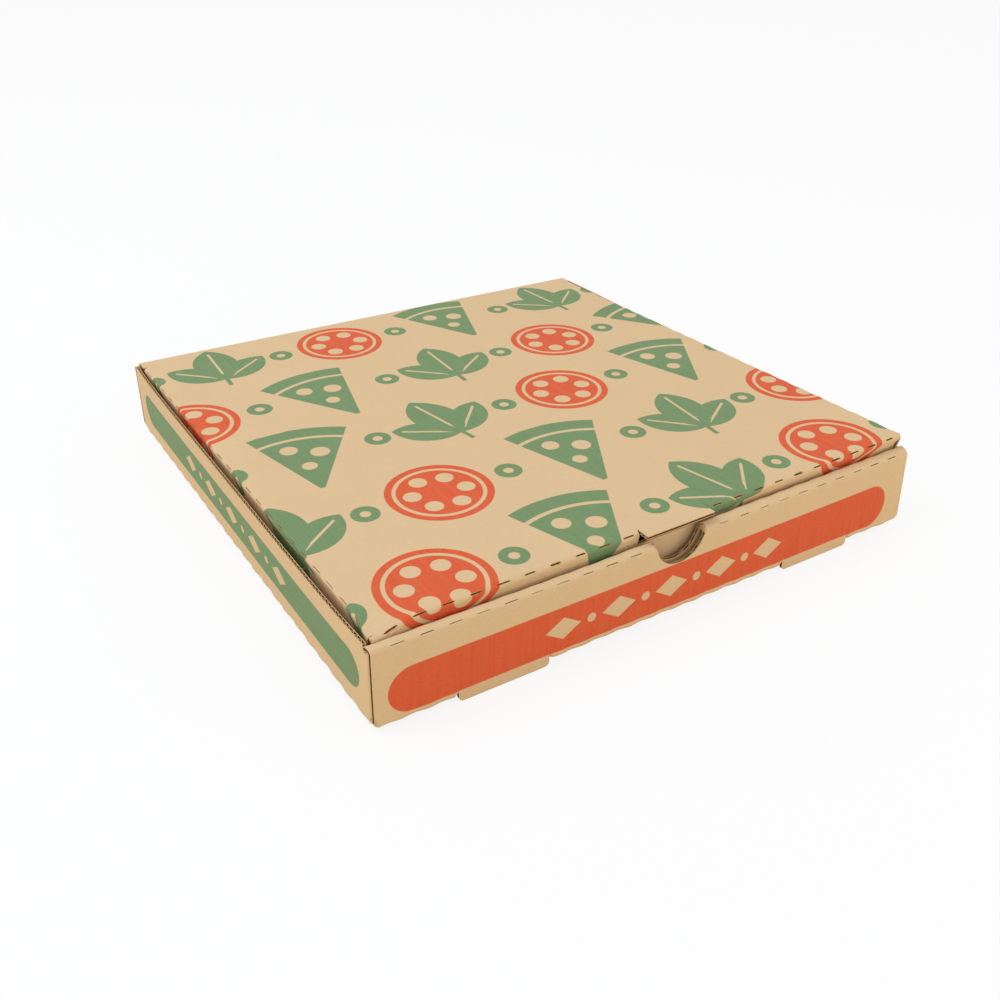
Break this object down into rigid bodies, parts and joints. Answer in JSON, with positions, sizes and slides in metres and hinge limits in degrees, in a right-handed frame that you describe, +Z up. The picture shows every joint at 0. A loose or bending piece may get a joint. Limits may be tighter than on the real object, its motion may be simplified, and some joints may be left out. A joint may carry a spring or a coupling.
{
  "type": "pizza box",
  "caption": "Flat closed box folded from corrugated board, with a hinged tuck lid, a rolled-over front wall on lock feet, a thumb notch and a lift lip.",
  "frame": {"origin": "middle of the box's outline, on the surface that its lock feet stand on", "axes": "+Z up, -Y out of the front wall with the thumb notch, +X to the right seen from the front"},
  "size_m": [0.286, 0.286, 0.0451],
  "materials": {
    "board": "matte kraft liner with flexo print"
  },
  "bodies": {
    "tray": {"tray": "board"},
    "lid": {"lid": "board"}
  },
  "joints": [
    {"name": "lid_hinge", "type": "hinge", "parent": "tray", "child": "lid", "pos_m": [0, 0.1422, 0.0398], "axis": [-1, 0, 0], "range_deg": [0, 178]}
  ]
}
